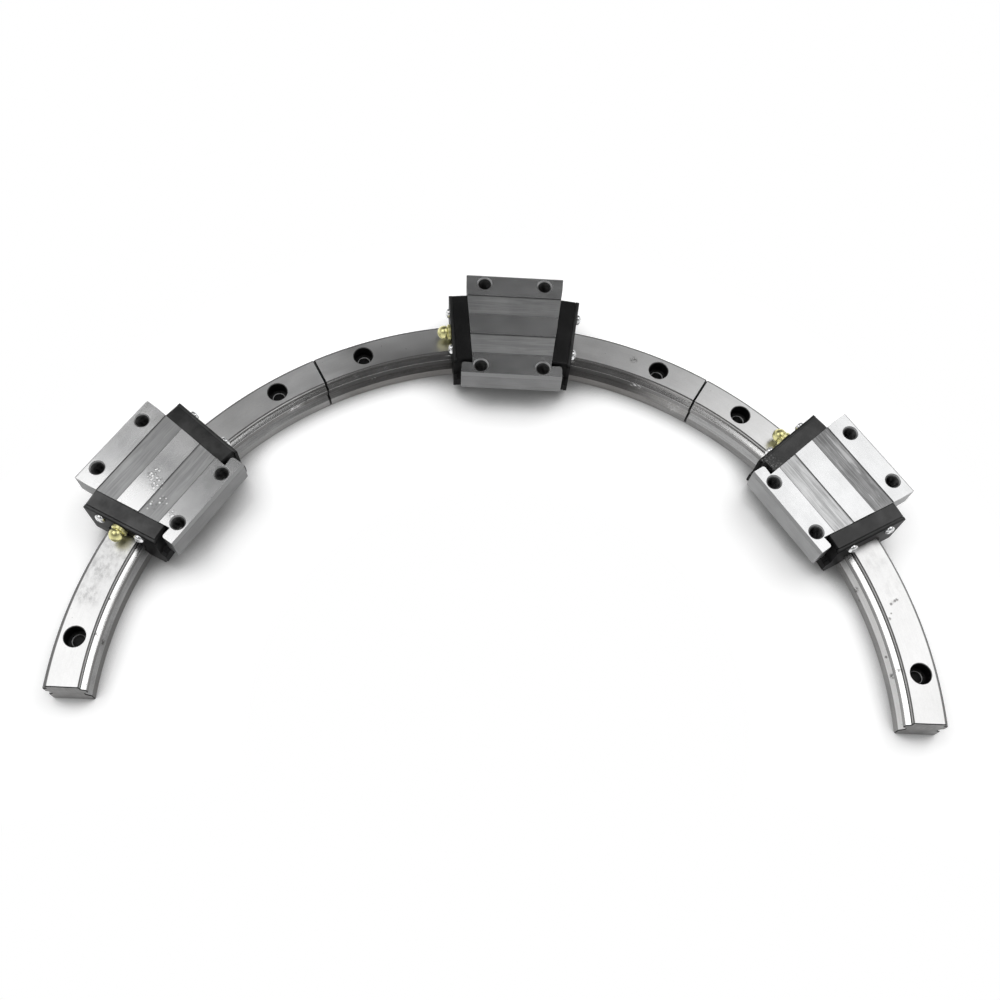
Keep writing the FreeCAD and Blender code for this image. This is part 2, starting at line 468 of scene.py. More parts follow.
def marked(place, marks, core=0.3):
    return place.spots([(radians(mark[0]) * RAIL_RADIUS, *mark[1:]) for mark in marks], core)


def rail_marks(at, pattern):
    """Masks for the nicks, the scuffs and the oil."""
    place = at.place
    pits = place.cloud(0.8, detail=2.0).step(0.70, 0.76) * pattern.clouds.step(0.45, 0.6) * 0.6
    nicks = marked(place, DARK_MARKS) * pattern.ragged.step(0.42, 0.52) * 0.75
    scuffs = marked(place, PALE_MARKS) * pattern.ragged.step(0.48, 0.58)
    oil = marked(place, LEFT_OIL, 0.2) + 0.35 * marked(place, RIGHT_OIL, 0.2)
    return pits.larger(nicks), scuffs, oil * pattern.mottle.step(0.40, 0.66) * at.top


print("marks on the rail:", len(DARK_MARKS), "dark and", len(PALE_MARKS), "pale")

# %% [markdown]
# ## Rail steel: tones
# The ground top, the polished upper ledge, the round lower raceway, the shoulder between them and the foot
# each have a tone of their own. Steel also mirrors the room, so the tones change along the arc: pale towards
# the ends and dark in the middle. Lamps alone can't set every stretch, so part of that is painted into the
# colour as painted reflection, and painted shade darkens the foot and the top's broken edges. Each face
# starts from one tone, and tint lays others over it where a mask says so.

# %% Tones of the top and the ledge


def top_tones(at, tone):
    # Painted reflection: paler round the left joint, and between it and the middle carriage darker on the
    # inner side than on the outer.
    steel = tone.tint(grey(0.56, 0.004), grey(0.67, 0.003))
    steel = (at.left_joint * 0.9).tint(steel, tone.tint(0.84, 0.98))
    across = at.offset.step(-6, 6).tint(0.42, 0.80)
    return (at.left_dip * 0.9).tint(steel, across)


def ledge_tones(at, tone):
    # Painted reflection: in the middle stretch the ledge is painted darker, except towards the right.
    middle_ledge = tone.tint(grey(0.30, 0.02), grey(0.46, 0.01))
    middle_ledge = at.toward_right.tint(middle_ledge, tone.tint(grey(0.68, 0.01), grey(0.90, 0.01)))
    steel = at.middle.tint(tone.tint(grey(0.74, 0.006), grey(0.86, 0.004)), middle_ledge)
    # Painted reflection: the wall above the ledge and the outer ledge are painted dark.
    wall = (at.middle * at.toward_right).tint(grey(0.12, 0.01), grey(0.45, 0.01))
    steel = at.ledge_wall.tint(steel, wall)
    return (at.outer_ledge * 0.95).tint(steel, grey(0.15, 0.01))


print("tones for the faces that look up are set")

# %% Tones of the flank


# Painted reflection: the flank is painted dark in the middle stretch and paler towards the right end.
def raceway_tones(at, worn):
    steel = worn.tint(0.27, 0.46)
    steel = at.right_part.tint(steel, worn.tint(0.46, 0.72))
    steel = at.right_far.tint(steel, worn.tint(0.50, 0.75))
    steel = at.right_end.tint(steel, worn.tint(grey(0.72, 0.01), grey(0.84, 0.005)))
    middle_raceway = worn.tint(grey(0.065, 0.03), grey(0.13, 0.02))
    middle_raceway = at.toward_right.tint(middle_raceway, worn.tint(grey(0.44, 0.02), grey(0.74, 0.02)))
    return (at.middle * (1 - at.right_part)).tint(steel, middle_raceway)


def shoulder_tones(at, worn):
    steel = worn.tint(grey(0.12, 0.03), grey(0.20, 0.02))
    steel = at.middle_run.tint(steel, worn.tint(grey(0.035, 0.03), grey(0.065, 0.02)))
    steel = at.right_run.tint(steel, worn.tint(grey(0.17, 0.01), grey(0.30, 0.01)))
    return at.right_end.tint(steel, worn.tint(grey(0.22, 0.01), grey(0.32, 0.005)))


# Painted shade: the foot by the floor is painted dark, a little less so in the middle and on the paler runs.
def foot_tones(at, worn):
    steel = worn.tint(grey(0.09, 0.03), grey(0.15, 0.02))
    steel = at.middle.tint(steel, worn.tint(grey(0.15, 0.04), grey(0.24, 0.03)))
    pale = (at.left_run + at.right_run + at.right_end) * 0.9
    return pale.tint(steel, worn.tint(grey(0.21, 0.01), grey(0.33, 0.01)))


print("tones for the flank are set")

# %% Rail finish


def rail_finish():
    finish, ink = new_finish("ground_rail_steel")
    at = rail_places(ink)
    pattern = rail_patterns(at.place)
    nicks, scuffs, oil = rail_marks(at, pattern)
    smears, grain, specks = pattern.smears, pattern.grain, pattern.specks
    tone = (0.3 * pattern.clouds + 0.25 * smears + 0.2 * grain + 0.25 * specks).step(0.32, 0.68)
    worn = (0.35 * smears + 0.35 * grain + 0.3 * specks).step(0.34, 0.66)
    flank = at.shoulder.tint(raceway_tones(at, worn), shoulder_tones(at, worn))
    flank = at.foot.tint(flank, foot_tones(at, worn))
    base = at.ledge.tint(top_tones(at, tone), ledge_tones(at, tone))
    base = at.flank.tint(base, flank)
    base = (oil * 0.45).tint(base, 0.26)
    # Painted shade: dark lines on the top's broken edges, darkest on the outer rim.
    base = (at.corner * 0.9).tint(base, grey(0.12, 0.01))
    base = (at.rim * 0.85).tint(base, grey(0.05, 0.01))
    base = (scuffs * 0.75).tint(base, 0.70)
    base = nicks.tint(base, grey(0.06, 0.06))
    rough = 0.22 + 0.14 * smears + 0.05 * grain - 0.10 * at.ledge + 0.12 * at.flank + 0.10 * oil
    bump = (grain * 0.5 + smears * 0.3 + specks * 0.2) * (1 - 0.8 * at.ledge)
    bump = bump - nicks * 0.6 + scuffs * 0.8
    return wear(finish, base, rough, bump, 0.008)


rail_steel = rail_finish()

# %% [markdown]
# ## Hole walls and sawn ends
# Drilled holes stay dark: their walls are rough and stained with oil and see little light, and their steel is
# painted near black as well, a painted shade. They get a steel of their own with rings of drill marks, and
# the small chamfer on the bolt hole is painted pale, a painted highlight, so the counterbores read as black
# holes with one thin bright edge. The two sawn ends of the rail are duller than its ground sides and show the
# strokes of the blade.

# %% Drilled and sawn steel
SEAT_HEIGHT = 9.7


def drilled_finish():
    finish, ink = new_finish("drilled_steel")
    place = millimetres(ink)
    rings = place.cloud(0.5, (0.2, 0.2, 6.0), detail=3.0)
    oil = place.cloud(0.4, detail=3.0)
    up = facing_up(ink)
    edge = up.step(0.4, 0.6) * (1 - up.step(0.8, 0.9))
    edge = edge * (1 - abs(place.parts()[2] - SEAT_HEIGHT).step(0.3, 0.5))
    # Painted shade: the walls are painted near black; painted highlight: a pale ring on the bolt hole's
    # chamfer.
    base = (0.5 * rings + 0.5 * oil).step(0.35, 0.7).tint(0.015, 0.05)
    base = edge.tint(base, 0.9)
    return wear(finish, base, 0.42 + 0.25 * oil, rings, 0.02)


drilled_steel = drilled_finish()


def sawn_finish():
    finish, ink = new_finish("sawn_steel")
    place = millimetres(ink)
    strokes = place.cloud(2.2, (1.0, 1.0, 0.06), detail=4.0, rough=0.65)
    stains = place.cloud(0.25, detail=4.0)
    base = (0.5 * strokes + 0.5 * stains).step(0.3, 0.7).tint(grey(0.13, 0.02), grey(0.26, 0.01))
    return wear(finish, base, 0.38 + 0.2 * strokes, strokes, 0.015)


sawn_steel = sawn_finish()

# %% [markdown]
# ## Rail sections
# The outline has a flat top with broken edges, a sloped ledge for the upper row of balls, a shoulder, a
# round raceway for the lower row, a neck and a foot. A curve with a bevel profile could carry it round the
# arc. Here it is swept ring by ring, because then each ring can differ: at both ends of a section the
# outline draws in a little, which leaves the dark joint line where two sections meet. The counterbored
# holes are cut last.

# %% Outline of one flank
RAIL_HEIGHT = 15.0
RAIL_HALF = 7.5
RACEWAY = 1.65
TOP_HALF = RAIL_HALF - RACEWAY
UPPER_RACEWAY = 13.35
LOWER_RACEWAY = 7.45
NECK = 6.2
FOOT = 4.5
TOP_CHAMFER = 0.4
FOOT_CHAMFER = 0.4
LIP = 0.06
SHOULDER_TOP = UPPER_RACEWAY - RACEWAY
LEDGE_TILT = 26.0
RACEWAY_START = 94
RACEWAY_STEPS = 12


def rail_outline():
    ledge = SHOULDER_TOP + (RAIL_HALF - LIP - TOP_HALF) * tan(radians(LEDGE_TILT))
    reach = 180 - RACEWAY_START
    turns = [radians(RACEWAY_START + reach * i / RACEWAY_STEPS) for i in range(RACEWAY_STEPS + 1)]
    flank = [
        (TOP_HALF - TOP_CHAMFER, RAIL_HEIGHT),
        (TOP_HALF, RAIL_HEIGHT - TOP_CHAMFER),
        (TOP_HALF, ledge),
        (RAIL_HALF - LIP, SHOULDER_TOP),
        (RAIL_HALF, SHOULDER_TOP - LIP),
        (RAIL_HALF, LOWER_RACEWAY + RACEWAY + LIP),
    ]
    flank += [(RAIL_HALF + RACEWAY * cos(a), LOWER_RACEWAY + RACEWAY * sin(a)) for a in turns]
    flank += [
        (TOP_HALF, NECK),
        (RAIL_HALF, FOOT),
        (RAIL_HALF, FOOT_CHAMFER),
        (RAIL_HALF - FOOT_CHAMFER, 0),
    ]
    return mirrored(flank)


outline = rail_outline()
print("rail outline:", len(outline), "points")

# %% Sweep and drill the three sections
SECTION_ANGLE = 60.0
SWEEP_STEPS = 96
JOINT_GAP = 0.3
JOINT_CHAMFER = 0.3
BOLT_HOLE = 2.25
COUNTERBORE = 3.75
HOLE_PITCH = 23.0
HOLE_EDGE = 0.25
GROUND, DRILLED, SAWN = range(3)


def arc_degrees(length):
    """An arc length in millimetres as an angle on the rail's middle line."""
    return degrees(length / RAIL_RADIUS)


def hole_cutter(angle):
    profile = [
        (0, -1),
        (BOLT_HOLE + HOLE_EDGE + 1, -1),
        (BOLT_HOLE, HOLE_EDGE),
        (BOLT_HOLE, SEAT_HEIGHT - HOLE_EDGE),
        (BOLT_HOLE + HOLE_EDGE, SEAT_HEIGHT),
        (COUNTERBORE, SEAT_HEIGHT),
        (COUNTERBORE, RAIL_HEIGHT - HOLE_EDGE),
        (COUNTERBORE + HOLE_EDGE + 1, RAIL_HEIGHT + 1),
        (0, RAIL_HEIGHT + 1),
    ]
    cutter = turned("hole_cutter", profile, 72)
    cutter.matrix_world = along_arc(angle)
    return cutter


def rail_section():
    """One section at the top of the arc: swept, drawn in at its ends, drilled, and given three finishes."""
    half = SECTION_ANGLE / 2 - arc_degrees(JOINT_GAP / 2)
    inner = half - arc_degrees(JOINT_CHAMFER)
    low = FOOT / 2
    drop = JOINT_CHAMFER
    drawn_in = [(u - copysign(drop, u), z - drop if z > low else z) for u, z in outline]
    rings = [(-half, drawn_in)]
    for i in range(SWEEP_STEPS + 1):
        rings.append((-inner + 2 * inner * i / SWEEP_STEPS, outline))
    rings.append((half, drawn_in))
    piece = sweep("rail_section", rings)
    angles = (-HOLE_PITCH, 0, HOLE_PITCH)
    cut(piece, [hole_cutter(a) for a in angles])
    for finish in (rail_steel, drilled_steel, sawn_steel):
        piece.data.materials.append(finish)
    centres = [along_arc(a).translation.xy for a in angles]
    for face in piece.data.polygons:
        away = min((face.center.xy - c).length for c in centres) / MM
        height = face.center.z / MM
        inside = away < COUNTERBORE + 0.05 and 0.05 < height < RAIL_HEIGHT - HOLE_EDGE / 2
        turn = abs(degrees(atan2(face.center.x, face.center.y - ARC_CENTRE.y)))
        if turn > half - 0.01:
            face.material_index = SAWN
        elif inside or turn > inner:
            face.material_index = DRILLED
    shade(piece, 22)
    return piece


section = rail_section()
for side, angle in (("left", -SECTION_ANGLE), ("middle", 0.0), ("right", SECTION_ANGLE)):
    rail = add_object("ground_rail_" + side, section.data.copy())
    rail.data.transform(along_arc(angle))
    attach(rail, "rail")
    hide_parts("rail_" + side)
    print(rail.name, len(rail.data.polygons), "faces")
bpy.data.objects.remove(section)

# %% [markdown]
# ## Oil and painted sheen on the left block
# The left carriage is freshly greased, and beads of oil stand on its lands. A pale painted sheen lies on both
# ends of its lands and on its middle land beside the nipple. Beads could be small meshes, but they are barely
# a hair high. So a Voronoi pattern draws round cells, a list of spots chooses where they show, and the bump
# lifts them; each bead is also painted white in the middle, a painted glint, with a dark rim.

# %% Painted sheen and oil beads
LAND_HALF = 4.6
BLOCK_TOP = 24.0
OIL_DROPS = [
    (-4.5, -2.5, BLOCK_TOP, 3.4), (-2.0, 0.5, BLOCK_TOP, 3.2), (-12.0, -7.0, BLOCK_TOP, 2.6),
    (-8.5, -9.0, BLOCK_TOP, 2.4), (-10.5, -15.0, BLOCK_TOP, 1.6),
]


def oil_and_painted_sheen(place, top, groove, smears, base, rough, bump):
    """Adds painted sheen on the land ends and the middle land, and beads of oil with painted glints, to a
    block's colour, roughness and bump.
    """
    along, offset, _ = place.parts()
    lands = top * (1 - groove)
    # Painted sheen: the lands are painted paler towards both ends.
    base = ((1 - along.step(-14, -9)) * lands * 0.8).tint(base, 0.78)
    base = (along.step(0, 16) * offset.step(2, 12) * lands * 0.85).tint(base, 0.96)
    base = (along.step(4, 16) * (1 - offset.step(-12, -4)) * lands * 0.6).tint(base, 0.62)
    # Painted sheen on the middle land, by the nipple and at the far end.
    middle_land = top * (1 - abs(offset).step(LAND_HALF, LAND_HALF + 0.1))
    painted_sheen = (1 - (along + 3 * smears).step(-9.0, -1.0)) * middle_land
    painted_end_sheen = along.step(3.0, 14.0) * middle_land
    settings = {"feature": "F1", "distance": "EUCLIDEAN"}
    cells = place.node("TexVoronoi", settings, {"Vector": place, "Scale": 0.8}, out="Distance")
    patch = place.spots(OIL_DROPS, 0.6) * place.cloud(0.7).step(0.36, 0.46) * top
    beads_and_glints = (1 - cells.step(0.24, 0.40)) * patch
    rims = cells.span((0.32, 0.42), (0.48, 0.60)) * patch
    base = (painted_sheen * 0.85).tint(base, 0.84)
    base = (painted_end_sheen * 0.8).tint(base, 0.86)
    # Dark rims round the beads, and a painted glint, white, in each bead's middle.
    base = (rims * 0.5).tint(base, 0.14)
    base = (beads_and_glints * 0.95).tint(base, 1.0)
    return base, rough + painted_sheen * 0.05 + beads_and_glints * 0.15, bump + beads_and_glints * 0.8


print("patches of oil beads:", len(OIL_DROPS))

# %% [markdown]
# ## Block steel
# A carriage block is ground on top in three lands, with two milled grooves between them that stay rougher,
# and its flanks are ground lengthwise. One finish could serve all three blocks, but each block mirrors
# another part of the room, and that is partly painted into the colour as painted reflection, so a block's
# tones are handed in as pairs, for the arc's inner and outer side. The flange chamfer gets a painted
# highlight, and the groove floors a painted shade along their walls.
# A block's object sits in its carriage's own frame, so Object coordinates are already length, offset and
# height on that carriage.

# %% Block finish
GROOVE_END = 13.4
GROOVE_MIDDLE = (LAND_HALF + GROOVE_END) / 2
GROOVE_HALF = (GROOVE_END - LAND_HALF) / 2


def between(share, tones):
    """A bluish steel grey between a dark and a light tone."""
    return share.tint(grey(tones[0], -0.005), grey(tones[1], -0.005))


def block_finish(name, side_tones, land_tones, cut_tones, scraped, oil_and_sheen=False):
    """Land and cut tones come in two pairs: on the arc's inner side, then on its outer side."""
    finish, ink = new_finish(name)
    place = millimetres(ink)
    _, offset, height = place.parts()
    up = facing_up(ink)
    top = up.step(0.8, 0.95) * height.step(22.5, 23.0)
    from_middle = abs(abs(offset) - GROOVE_MIDDLE)
    groove = (1 - from_middle.step(GROOVE_HALF - 0.05, GROOVE_HALF + 0.05)) * top
    near_wall = 1 - abs(from_middle - GROOVE_HALF).step(0.15, 0.6)
    clouds = place.cloud(0.09, detail=6.0)
    smears = place.cloud(0.22, (0.6, 1.0, 1.0), detail=5.0, rough=0.65)
    grain = place.cloud(3.2, (0.025, 1.0, 1.0), detail=3.0)
    milled = place.cloud(1.7, (0.03, 1.0, 1.0), detail=5.0, rough=0.75)
    scrapes = place.cloud(0.7, (0.1, 1.0, 1.0), detail=4.0).step(0.56, 0.68)
    tone = (0.45 * clouds + 0.35 * smears + 0.2 * grain).step(0.32, 0.68)
    # Painted reflection: the arc's inner and outer side get tones of their own, for lands and cuts.
    land = offset.step(-24, 24).tint(between(tone, land_tones[0]), between(tone, land_tones[1]))
    streaks = (0.3 * clouds + 0.7 * milled).step(0.36, 0.64)
    cut_steel = offset.step(-1, 1).tint(between(streaks, cut_tones[0]), between(streaks, cut_tones[1]))
    cut_steel = (scrapes * scraped).tint(cut_steel, grey(0.62, -0.004))
    side = between((0.5 * grain + 0.5 * clouds).step(0.3, 0.7), side_tones)
    # Painted highlight: the flange chamfer is painted lighter than the side.
    bevelled = up.step(0.45, 0.6) * height.step(22.4, 22.6)
    base = bevelled.tint(side, grey(0.42, -0.004))
    base = groove.tint(top.tint(base, land), cut_steel)
    # Painted shade: the groove floors are painted dark along their walls.
    base = (near_wall * groove * 0.8).tint(base, 0.10)
    rough = 0.16 + 0.10 * smears + 0.05 * grain + 0.18 * groove + 0.16 * (1 - top)
    bump = grain * (0.5 - 0.35 * top) + groove * milled * 1.5
    if oil_and_sheen:
        base, rough, bump = oil_and_painted_sheen(place, top, groove, smears, base, rough, bump)
    return wear(finish, base, rough, bump, 0.012)


print("grooves in a block are", round(2 * GROOVE_HALF, 1), "mm wide")

# %% Tones of the three blocks
LEFT_LANDS = [(0.41, 0.49), (0.53, 0.64)]
LEFT_CUTS = [(0.27, 0.39), (0.28, 0.40)]
MIDDLE_LANDS = [(0.42, 0.51), (0.66, 0.78)]
MIDDLE_CUTS = [(0.28, 0.40), (0.28, 0.40)]
RIGHT_LANDS = [(0.50, 0.60), (0.50, 0.60)]
RIGHT_CUTS = [(0.30, 0.62), (0.15, 0.33)]
block_steel = {
    "left": block_finish("left_block_steel", (0.14, 0.21), LEFT_LANDS, LEFT_CUTS, 0.2, oil_and_sheen=True),
    "middle": block_finish("middle_block_steel", (0.14, 0.21), MIDDLE_LANDS, MIDDLE_CUTS, 0.2),
    "right": block_finish("right_block_steel", (0.24, 0.33), RIGHT_LANDS, RIGHT_CUTS, 0.5),
}

# %% [markdown]
# ## Carriage block
# The real block is milled from a bar, and the mesh follows that, because the Boolean keeps it closed at every
# cut. It starts as a straight bar whose outline has the lands, the grooves, the flanges and the narrower
# body. Its ends are cut square to the curved rail, apart from the inner flange, which keeps its full length
# with a rounded corner. Then come the channel for the rail and four threaded holes with countersunk mouths.

# %% Bar, ends, channel and holes
BLOCK_LENGTH = 38.4
BLOCK_HALF = 23.5
BODY_HALF = 15.2
TAPER_START = 17.2
END_ANGLE = degrees(atan(BLOCK_LENGTH / 2 / (RAIL_RADIUS + TAPER_START)))
FLANGE_BOTTOM = 14.5
UNDERSIDE = 4.6
GROOVE_DEPTH = 0.35
FLANGE_CHAMFER = 1.0
BODY_CHAMFER = 0.6
BLOCK_EDGE = 0.16
NOTCH = 18.1
INNER_CORNER = 0.8
OUTER_CORNER = 0.7
CHANNEL_GAP = 0.35
CHANNEL_REACH = 10
THREAD_PLACES = [(x, y) for x in (-12, 12) for y in (-19, 19)]
THREAD_RADIUS = 2.5
MOUTH = 0.5


def block_plan():
    """The block from above: ends square to the curved rail, but the inner flange at its full length."""
    slope = tan(radians(END_ANGLE))
    edge = BLOCK_LENGTH / 2
    half = [
        (edge, BLOCK_HALF, OUTER_CORNER),
        (edge, TAPER_START, 0),
        ((RAIL_RADIUS - NOTCH) * slope, -NOTCH, 0),
        (edge, -NOTCH, INNER_CORNER),
        (edge, -BLOCK_HALF, OUTER_CORNER),
    ]
    corners = half + [(-x, y, radius) for x, y, radius in reversed(half)]
    return prism("block_plan", rounded(corners), 0, BLOCK_TOP + 1, "xyz")


def thread_cutter(x, y):
    profile = [
        (0, FLANGE_BOTTOM - 1),
        (THREAD_RADIUS + MOUTH + 1, FLANGE_BOTTOM - 1),
        (THREAD_RADIUS, FLANGE_BOTTOM + MOUTH),
        (THREAD_RADIUS, BLOCK_TOP - MOUTH),
        (THREAD_RADIUS + MOUTH + 1, BLOCK_TOP + 1),
        (0, BLOCK_TOP + 1),
    ]
    cutter = turned("thread_cutter", profile, 56)
    cutter.location = (x * MM, y * MM, 0)
    return cutter


def block_mesh():
    floor = BLOCK_TOP - GROOVE_DEPTH
    half = [
        (LAND_HALF, BLOCK_TOP),
        (LAND_HALF, floor),
        (GROOVE_END, floor),
        (GROOVE_END, BLOCK_TOP),
        (BLOCK_HALF - FLANGE_CHAMFER, BLOCK_TOP),
        (BLOCK_HALF, BLOCK_TOP - FLANGE_CHAMFER),
        (BLOCK_HALF, FLANGE_BOTTOM),
        (BODY_HALF, FLANGE_BOTTOM),
        (BODY_HALF, UNDERSIDE + BODY_CHAMFER),
        (BODY_HALF - BODY_CHAMFER, UNDERSIDE),
    ]
    bar = prism("block", mirrored(half), -BLOCK_LENGTH, BLOCK_LENGTH, "yzx")
    side = RAIL_HALF + CHANNEL_GAP
    tunnel = mirrored([(side, RAIL_HEIGHT + CHANNEL_GAP), (side, -1)])
    angles = range(-CHANNEL_REACH, CHANNEL_REACH + 1)
    channel = sweep("channel", [(angle, tunnel) for angle in angles])
    cut(bar, [block_plan()], "INTERSECT")
    cut(bar, [channel] + [thread_cutter(x, y) for x, y in THREAD_PLACES])
    bar.data.shade_smooth()
    break_edges(bar, BLOCK_EDGE)
    settle(bar)
    return bar


block = block_mesh()
print("block:", len(block.data.polygons), "faces")

# %% One block on each carriage


def on_carriage(side, name, mesh, place=Matrix.Identity(4)):
    """A piece of one carriage, put in that carriage's own frame and riding with it."""
    piece = add_object(side + "_" + name, mesh)
    piece.matrix_world = along_arc(CARRIAGES[side]) @ place
    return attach(piece, side + "_carriage")


for face in block.data.polygons:
    away = min((face.center.xy / MM - Vector(spot)).length for spot in THREAD_PLACES)
    low = face.center.z / MM < BLOCK_TOP - MOUTH
    face.material_index = DRILLED if away < THREAD_RADIUS + 0.1 and low else GROUND
for side in CARRIAGES:
    mesh = block.data.copy()
    mesh.materials.append(block_steel[side])
    mesh.materials.append(drilled_steel)
    piece = on_carriage(side, "ground_block", mesh)
    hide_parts(side + "_block")
bpy.data.objects.remove(block)
print("blocks stand at", list(CARRIAGES.values()), "degrees")

# %% [markdown]
# ## Threads
# The flange holes are tapped M5. A real helix is worth its faces here, because the holes are open to the
# eye from above. One sleeve is a grid round the axis whose inner radius follows the thread's triangle
# wave, and the same mesh goes into every hole.

# %% One tapped sleeve
PITCH = 0.8
THREAD_DEPTH = 0.4
TURN_STEPS = 36
ROWS_PER_PITCH = 6
CREST_FLAT = 1.25
SLEEVE_INSET = 0.05
SLEEVE_LAP = 0.05


def thread_radius(turn, z):
    """The sleeve's inner radius at a share of a turn and a height: a triangle wave with flat crests."""
    wave = abs(2 * ((z / PITCH - turn) % 1.0) - 1)
    return THREAD_RADIUS - THREAD_DEPTH * min(1.0, CREST_FLAT * wave)


def thread_sleeve():
    low = FLANGE_BOTTOM + MOUTH + SLEEVE_INSET
    high = BLOCK_TOP - MOUTH - SLEEVE_INSET
    rows = int((high - low) / PITCH * ROWS_PER_PITCH)
    heights = [low + (high - low) * row / rows for row in range(rows + 1)]
    turns = [i / TURN_STEPS for i in range(TURN_STEPS)]
    radii = [(z, [thread_radius(turn, z) for turn in turns]) for z in heights]
    radii += [(z, [THREAD_RADIUS + SLEEVE_LAP] * TURN_STEPS) for z in (high, low)]
    bm = bmesh.new()
    rings = []
    for z, ring in radii:
        spokes = [(r * MM, 2 * pi * turn) for r, turn in zip(ring, turns)]
        rings.append([bm.verts.new((r * cos(a), r * sin(a), z * MM)) for r, a in spokes])
    join_rings(bm, rings + rings[:1])
    return new_piece("thread_sleeve", bm)


sleeve = thread_sleeve()
print("sleeve:", len(sleeve.data.polygons), "faces")

# %% A thread in every hole


def thread_finish():
    finish, ink = new_finish("tapped_steel")
    place = millimetres(ink)
    oil = place.cloud(0.7, detail=3.0)
    scuff = place.cloud(4.0, (1.0, 1.0, 0.3), detail=2.0)
    # Painted shade: the tapped steel is painted near black, as the inside of a hole looks; oil and scuffs
    # vary it.
    base = (0.6 * oil + 0.4 * scuff).step(0.35, 0.7).tint(0.03, 0.10)
    return wear(finish, base, 0.30 + 0.2 * oil, scuff, 0.008)


sleeve.data.materials.append(thread_finish())
for side in CARRIAGES:
    for number, (x, y) in enumerate(THREAD_PLACES, 1):
        place = Matrix.Translation((x * MM, y * MM, 0))
        piece = on_carriage(side, "thread_%d" % number, sleeve.data, place)
bpy.data.objects.remove(sleeve)
print("threads:", len(THREAD_PLACES) * len(CARRIAGES))

# %% [markdown]
# ## End plates and seals
# The ends are moulded black plastic with a rubber seal on the outside. Their CAD solids already have the
# right shape, so they stay, and only get broken edges and a finish. Black is never flat: level tops carry an
# uneven gloss, which is a coat over the plastic, and are painted a little paler, which is dust and painted
# sheen. The outer upright faces get a pale painted sheen, the left carriage's level tops are painted paler
# still, as painted sheen, and one scraped corner shows flecks. The seal is the duller of the two.

# %% Black finishes


def black_finish(name, dark, dust_and_sheen, gloss, grain_depth):
    finish, ink = new_finish(name, 0.0, Specular_IOR_Level=0.05, Coat_Roughness=gloss)
    along, offset, _, place = arc_frame(ink)
    dust = place.cloud(0.12, detail=6.0, rough=0.65)
    grain = place.cloud(5.0, detail=2.0)
    specks = place.cloud(1.4, detail=3.0).step(0.62, 0.72) * dust.step(0.4, 0.6)
    scraped = along.span((100, 104), (128, 130)) * (1 - offset.step(-14, -8))
    level = facing_up(ink).step(0.5, 0.95)
    scuffs = place.cloud(1.0, detail=5.0, rough=0.7).step(0.54, 0.64) * scraped * level
    # Dust and painted sheen: level tops are painted a little paler.
    top_dust_and_sheen = level * (0.4 + 0.6 * dust.step(0.35, 0.7))
    # Painted sheen on the outer upright faces.
    painted_sheen = (1 - level) * offset.step(3, 12) * (0.3 + 0.7 * dust.step(0.35, 0.65))
    base = (top_dust_and_sheen * 0.8 + specks * 0.2).tint(grey(dark, -0.03), grey(dust_and_sheen, -0.01))
    # Painted sheen: the left carriage's level tops are painted paler.
    painted_left_sheen = level * (1 - along.step(-112, -108)) * (0.4 + 0.6 * dust.step(0.35, 0.65))
    base = painted_sheen.tint(base, 0.07)
    base = (painted_left_sheen * 0.6).tint(base, 0.05)
    base = (scuffs * 0.5).tint(base, 0.40)
    shine = 0.40 + 0.12 * dust - 0.06 * specks
    coat = level * (0.65 + 0.35 * dust.step(0.35, 0.7))
    return wear(finish, base, shine, grain + 0.5 * specks, grain_depth, coat)


plate_plastic = black_finish("moulded_black_plastic", 0.003, 0.006, 0.22, 0.010)
seal_rubber = black_finish("lip_rubber", 0.003, 0.012, 0.34, 0.008)
for side in CARRIAGES:
    for number in (1, 2):
        for kind, finish, width in (("end_plate", plate_plastic, 0.3), ("end_seal", seal_rubber, 0.22)):
            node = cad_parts["%s_%s_%d" % (side, kind, number)]
            node.data.materials.clear()
            node.data.materials.append(finish)
            node.data.shade_smooth()
            break_edges(node, width)
print("black ends:", 2 * 2 * len(CARRIAGES))

# %% [markdown]
# ## Screws
# Two small cross-head screws hold each seal and plate. They are bright zinc. The head is a turned dome and
# its recess a plus-shaped prism cut with a Boolean. One mesh serves all twelve, which keeps the file small,
# and a seat matrix turns each head to look out of its end.

# %% Head of a screw
SEAL_FRONT = 7.4
SCREW_ASIDE = 8.3
SCREW_HEIGHT = 20.3
HEAD_RADIUS = 2.0
HEAD_HEIGHT = 1.6
HEAD_RIM = 0.4
HEAD_SUNK = 0.3
CROSS_ARM = 1.1
CROSS_HALF = 0.25
CROSS_DEPTH = 0.75
SCREW_EDGE = 0.03


def seat(end, aside, height):
    """A place on one end of a carriage (+1 clockwise, -1 counter-clockwise), with Z looking outwards."""
    place = Matrix.Translation(Vector((end * SEAL_FRONT, aside, height)) * MM)
    return along_arc(end * END_ANGLE) @ place @ Matrix.Rotation(end * pi / 2, 4, "Y")


def screw_mesh():
    turns = [radians(a) for a in range(10, 90, 10)]
    dome = HEAD_HEIGHT - HEAD_RIM
    profile = [(0, -HEAD_SUNK), (HEAD_RADIUS, -HEAD_SUNK), (HEAD_RADIUS, HEAD_RIM)]
    profile += [(HEAD_RADIUS * cos(a), HEAD_RIM + dome * sin(a)) for a in turns]
    profile += [(0, HEAD_HEIGHT)]
    head = turned("screw", profile, 40)
    arm, half = CROSS_ARM, CROSS_HALF
    quarter = [(half, arm), (half, half), (arm, half)]
    plus = mirrored(quarter + [(x, -y) for x, y in reversed(quarter)])
    cut(head, [prism("cross", plus, HEAD_HEIGHT - CROSS_DEPTH, HEAD_HEIGHT + 1, "xyz")])
    head.data.shade_smooth()
    break_edges(head, SCREW_EDGE)
    settle(head)
    return head


